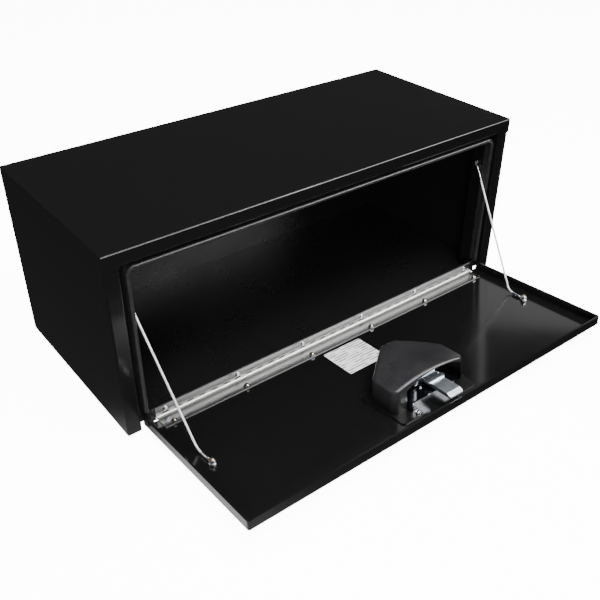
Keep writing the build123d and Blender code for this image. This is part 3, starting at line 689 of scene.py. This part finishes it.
detail_nuts("hinge_door_nuts", "door", door_up, *m6_nut)
detail_nuts("lower_lanyard_nuts", "door", door_up, *m6_nut)
detail_nuts("upper_lanyard_nuts", "box", across, *m6_nut)
detail_nuts("latch_nuts", "door", door_up, *m5_nut)
detail_nuts("hinge_body_nuts", "box", inwards, *m5_nut)
for door_bolts in ("hinge_door_bolts", "lower_lanyard_bolts"):
    detail_bolts(
        door_bolts, "door", door_up, m6_thread, head_height=2.3 * mm, material=warm_zinc)
detail_bolts(
    "upper_lanyard_bolts", "box", across, m6_thread, head_height=5.0 * mm, make_head=hexagon_head)
detail_bolts("hinge_body_screws", "box", inwards, m5_thread, head_height=1.9 * mm)


# Lanyard ends: a flat eye, a tapered neck and a sleeve crimped round the rope in three places

eye_radius = 6.5 * mm
eye_thickness = 2.0 * mm
eye_bore = 3.05 * mm
neck_start = 6.0 * mm
neck_sides = 32
sleeve_start = 11.0 * mm
sleeve_radius = 3.0 * mm
sleeve_sides = 40
sleeve_steps = 40
neck_profile = [
    (neck_start - 0.6 * mm, 0.9 * mm), (neck_start + 1.0 * mm, 1.2 * mm),
    (sleeve_start - 2.0 * mm, 2.2 * mm), (sleeve_start + 1.0 * mm, 2.7 * mm),
]

# The middle of the right-hand eye and the mouth of its sleeve, at the door and at the box
lower_eye, lower_mouth = Vector((0.3875, -0.35994, 0.02264)), Vector((0.38938, -0.32945, 0.02104))
upper_eye, upper_mouth = Vector((0.4122, -0.1677, 0.2574)), Vector((0.40925, -0.18787, 0.22592))


def sleeve_profile(length, radius):
    """A crimped sleeve: three pressed waists between rounded bands."""
    profile = []
    for step in range(sleeve_steps + 1):
        along = step / sleeve_steps
        waist = max(0.0, math.cos(6 * math.pi * (along - 0.5)) - 0.35)
        ends = min(1.0, 6 * along + 0.8, 6 * (1 - along) + 0.8)
        profile.append((length * along, radius * min(1.0, ends) * (1 - 0.16 * waist)))
    return profile


def add_eye(made, centre, axis, thickness, radius, bore):
    """A flat ring with rounded rims."""
    half = thickness / 2
    edge = 0.3 * thickness
    close_bored(made, add_turned(made, centre, axis, [
        (-half, bore), (-half, radius - edge), (edge - half, radius), (half - edge, radius),
        (half, radius - edge), (half, bore),
    ], round_sides))


def detail_eyes(node, body, axis, right_eye, right_mouth):
    """The eye, neck and sleeve at one end of both lanyards."""
    made = bmesh.new()
    for side in (1, -1):
        centre, mouth = on_side(right_eye, side), on_side(right_mouth, side)
        direction = (mouth - centre).normalized()
        length = (mouth - centre).length
        add_eye(made, centre, axis, eye_thickness, eye_radius, eye_bore)
        close_rings(made, add_turned(made, centre, direction, neck_profile, neck_sides))
        close_rings(made, add_turned(
            made, centre + direction * sleeve_start, direction,
            sleeve_profile(length - sleeve_start, sleeve_radius), sleeve_sides))
    replace_node(node, made, body, angle=50.0)


detail_eyes("lower_lanyard_eyes", "door", door_up, lower_eye, lower_mouth)
detail_eyes("upper_lanyard_eyes", "box", across, upper_eye, upper_mouth)


# Springs: one behind the slam bolt and one at the paddle.

wire_sides = 10
coil_steps = 20


def coil(start, axis, length, radius, wire, turns):
    """The centre line of a coil spring of that length over its wire."""
    axis = axis.normalized()
    side = axis.orthogonal().normalized()
    up = axis.cross(side)
    points = []
    total = turns * coil_steps
    for step in range(total + 1):
        angle = 2 * math.pi * step / coil_steps
        along = step / total
        height = wire / 2 + (length - wire) * along
        around = side * math.cos(angle) + up * math.sin(angle)
        points.append(start + axis * height + radius * around)
    return points


def detail_spring(node, axis, wire, turns):
    """A coil wound where a CAD tube is."""
    island = max(islands(node, axis), key=lambda one: len(one.points))
    length = island.high - island.low
    radius = island.reach(island.low, island.high) - wire / 2
    made = bmesh.new()
    add_wire(made, coil(island.at(island.low), axis, length, radius, wire, turns), wire / 2)
    return replace_node(node, made, "door", angle=60.0)


bolt_coil = detail_spring("bolt_spring", door_out, wire=0.9 * mm, turns=9)
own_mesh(bolt_coil)
detail_spring("paddle_spring", across, wire=1.0 * mm, turns=8)


# Floor and studio light. The floor and the backdrop are as bright as each other, so that both
# come out white, as in a cut-out picture.

backdrop_level = 12.0
floor_half_width = 8.0
floor_drop = 2.0 * mm

# The dome's brightness at heights from -1, straight down, to 1, straight up
studio_dome = [
    (-1.0, 2.2), (-0.71, 2.0), (-0.66, 0.05), (-0.2, 0.02),
    (0.15, 0.06), (0.4, 0.045), (0.75, 0.045), (0.95, 0.6),
]


def make_stage():
    paint = Paint("floor_paper", Emission_Color=(1, 1, 1, 1), Emission_Strength=backdrop_level)
    tint = paint.speckle(3.0, 2.0)
    shade = paint.spread(tint, 0.0, 1.0)
    paint.colour(paint.blend_colours(shade, (0.93, 0.93, 0.93), (0.95, 0.95, 0.95)))
    paint.roughness(paint.spread(tint, 0.8, 0.9))
    made = bmesh.new()
    bmesh.ops.create_grid(made, x_segments=4, y_segments=4, size=floor_half_width)
    floor = add_mesh("floor", finished(made, "floor", paint.material, angle=40.0))
    floor.location.z = -floor_drop
    floor.visible_glossy = False
    floor.visible_diffuse = False


def set_world(stops, backdrop):
    """A dome of soft light by height. The camera itself sees a plain backdrop."""
    world = bpy.data.worlds.new("studio")
    scene.world = world
    world.use_nodes = True
    tree = world.node_tree
    coordinates = tree.nodes.new("ShaderNodeTexCoord")
    split = tree.nodes.new("ShaderNodeSeparateXYZ")
    remap = tree.nodes.new("ShaderNodeMapRange")
    remap.inputs["From Min"].default_value = -1.0
    ramp = tree.nodes.new("ShaderNodeValToRGB")
    elements = ramp.color_ramp.elements
    while len(elements) < len(stops):
        elements.new(0.5)
    for element, (height, level) in zip(elements, stops):
        element.position = (height + 1) / 2
        element.color = (level, level, level, 1)
    path = tree.nodes.new("ShaderNodeLightPath")
    mix = tree.nodes.new("ShaderNodeMix")
    mix.data_type = "RGBA"
    mix.inputs["B"].default_value = (backdrop, backdrop, backdrop, 1)
    tree.links.new(coordinates.outputs["Generated"], split.inputs["Vector"])
    tree.links.new(split.outputs["Z"], remap.inputs["Value"])
    tree.links.new(remap.outputs["Result"], ramp.inputs["Fac"])
    tree.links.new(ramp.outputs["Color"], mix.inputs["A"])
    tree.links.new(path.outputs["Is Camera Ray"], mix.inputs["Factor"])
    tree.links.new(mix.outputs["Result"], tree.nodes["Background"].inputs["Color"])


def area_light(name, place, target, size, power, glossy=True, diffuse=True):
    data = bpy.data.lights.new(name, "AREA")
    data.shape = "RECTANGLE"
    data.size, data.size_y = size
    data.energy = power
    light = bpy.data.objects.new(name, data)
    light.location = place
    light.rotation_euler = (Vector(target) - Vector(place)).to_track_quat("-Z", "Y").to_euler()
    light.visible_camera = False
    light.visible_glossy = glossy
    light.visible_diffuse = diffuse
    scene.collection.objects.link(light)


make_stage()
set_world(studio_dome, backdrop_level)
area_light("overhead_fill", (0.2, -0.4, 2.4), (0, 0, 0), (3.0, 3.0), 100, glossy=False)
area_light("front_fill", (-1.2, -2.2, 1.3), (0, 0, 0.1), (2.0, 1.2), 45, glossy=False)
area_light("inside_fill", (-1.5, -1.9, 0.5), (0.3, 0.0, 0.12), (1.0, 0.4), 45, glossy=False)
area_light("top_strip", (0.3, -0.9, 2.2), (0.1, -0.3, 0.1), (2.2, 0.5), 45)
area_light("right_softbox", (1.5, -1.6, 1.15), (0.1, -0.3, 0.15), (1.2, 1.2), 60, diffuse=False)
area_light("front_strip", (0.55, -1.65, 1.25), (-0.2, -0.4, 0.1), (1.1, 0.3), 28, diffuse=False)
area_light("left_back_strip", (-1.4, 1.1, 1.3), (-0.3, -0.1, 0.2), (0.6, 1.2), 10)
area_light("door_card", (0.92, -0.02, 0.22), (0.35, -0.4, 0.08), (0.7, 0.4), 0.75)
